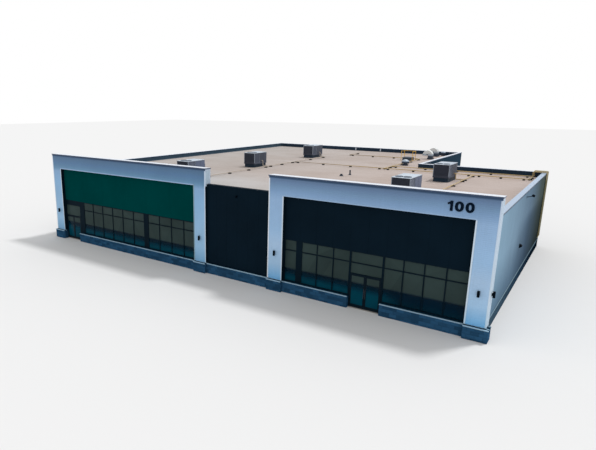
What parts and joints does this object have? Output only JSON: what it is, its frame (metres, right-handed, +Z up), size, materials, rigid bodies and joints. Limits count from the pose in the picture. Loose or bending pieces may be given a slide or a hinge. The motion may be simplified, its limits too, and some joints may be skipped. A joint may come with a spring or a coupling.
{
  "type": "single-storey supermarket building with portal store fronts",
  "caption": "Low flat-roofed retail building with two portal-framed store fronts, swing door pairs, block plinth, parapets and rooftop units.",
  "frame": {"origin": "ground level under the middle of the plan, on the underside of the floor slab", "axes": "+X to the right along the front, +Y from the front to the rear, +Z up"},
  "size_m": [37.0913, 39.7478, 7.7],
  "materials": {
    "concrete": "smooth trowelled concrete",
    "roof_felt": "mineral granule roofing felt",
    "light_cladding": "finely ribbed, satin",
    "side_cladding": "flat insulated panels, satin",
    "slate_cladding": "flat insulated panels, satin",
    "black_cladding": "flat panels, matte",
    "green_panel": "flat sign band, satin",
    "pale_coping": "folded metal, satin",
    "grey_block": "split-face concrete block",
    "pale_sill": "cast sill",
    "black_aluminium": "anodised, satin",
    "tinted_glass": "tinted, reflective",
    "unit_grey": "powder coat",
    "vent_steel": "galvanised sheet",
    "gas_yellow": "gloss paint",
    "rubber_block": "recycled rubber",
    "light_black": "powder coat",
    "dark_party": "coated sheet"
  },
  "bodies": {
    "building": {"floor_slab": "concrete", "roof_deck_front": "roof_felt", "roof_deck_rear": "roof_felt", "left_portal_outer_pier": "light_cladding", "left_portal_inner_pier": "light_cladding", "left_portal_header": "light_cladding", "right_portal_inner_pier": "light_cladding", "right_portal_outer_pier": "light_cladding", "right_portal_header": "light_cladding", "middle_wall": "black_cladding", "party_wall": "dark_party", "side_wall": "side_cladding", "rear_wall_right": "slate_cladding", "step_wall": "slate_cladding", "rear_wall_left": "slate_cladding", "portal_copings": "pale_coping", "parapet_copings": "pale_coping", "front_plinth": "grey_block", "side_plinth": "grey_block", "rear_plinth": "grey_block", "plinth_sills": "pale_sill", "sign_band": "green_panel", "fascia_panel": "black_cladding", "storefront_columns": "black_aluminium", "left_window_frames": "black_aluminium", "left_door_frame": "black_aluminium", "left_storefront_glass": "tinted_glass", "right_window_frames": "black_aluminium", "right_door_frame": "black_aluminium", "right_storefront_glass": "tinted_glass", "rooftop_unit_1": "unit_grey", "rooftop_unit_2": "unit_grey", "rooftop_unit_3": "unit_grey", "rooftop_unit_4": "unit_grey", "rooftop_unit_5": "unit_grey", "exhaust_hoods": "vent_steel", "roof_vents": "vent_steel", "roof_hatch": "vent_steel", "hatch_railing": "gas_yellow", "gas_pipe": "gas_yellow", "pipe_blocks": "rubber_block", "reveal_liners": "black_cladding", "wall_lights": "light_black"},
    "left_door_left_leaf_body": {"left_door_left_leaf": "black_aluminium", "left_door_left_glass": "tinted_glass"},
    "left_door_right_leaf_body": {"left_door_right_leaf": "black_aluminium", "left_door_right_glass": "tinted_glass"},
    "right_door_left_leaf_body": {"right_door_left_leaf": "black_aluminium", "right_door_left_glass": "tinted_glass"},
    "right_door_right_leaf_body": {"right_door_right_leaf": "black_aluminium", "right_door_right_glass": "tinted_glass"}
  },
  "joints": [
    {"name": "left_door_left_hinge", "type": "hinge", "parent": "building", "child": "left_door_left_leaf_body", "pos_m": [-17.146, -19.48, 1.1], "axis": [0, 0, -1], "range_deg": [0, 90]},
    {"name": "left_door_right_hinge", "type": "hinge", "parent": "building", "child": "left_door_right_leaf_body", "pos_m": [-15.244, -19.48, 1.1], "axis": [0, 0, 1], "range_deg": [0, 90]},
    {"name": "right_door_left_hinge", "type": "hinge", "parent": "building", "child": "right_door_left_leaf_body", "pos_m": [10.624, -19.48, 1.1], "axis": [0, 0, -1], "range_deg": [0, 90]},
    {"name": "right_door_right_hinge", "type": "hinge", "parent": "building", "child": "right_door_right_leaf_body", "pos_m": [12.526, -19.48, 1.1], "axis": [0, 0, 1], "range_deg": [0, 90]}
  ]
}
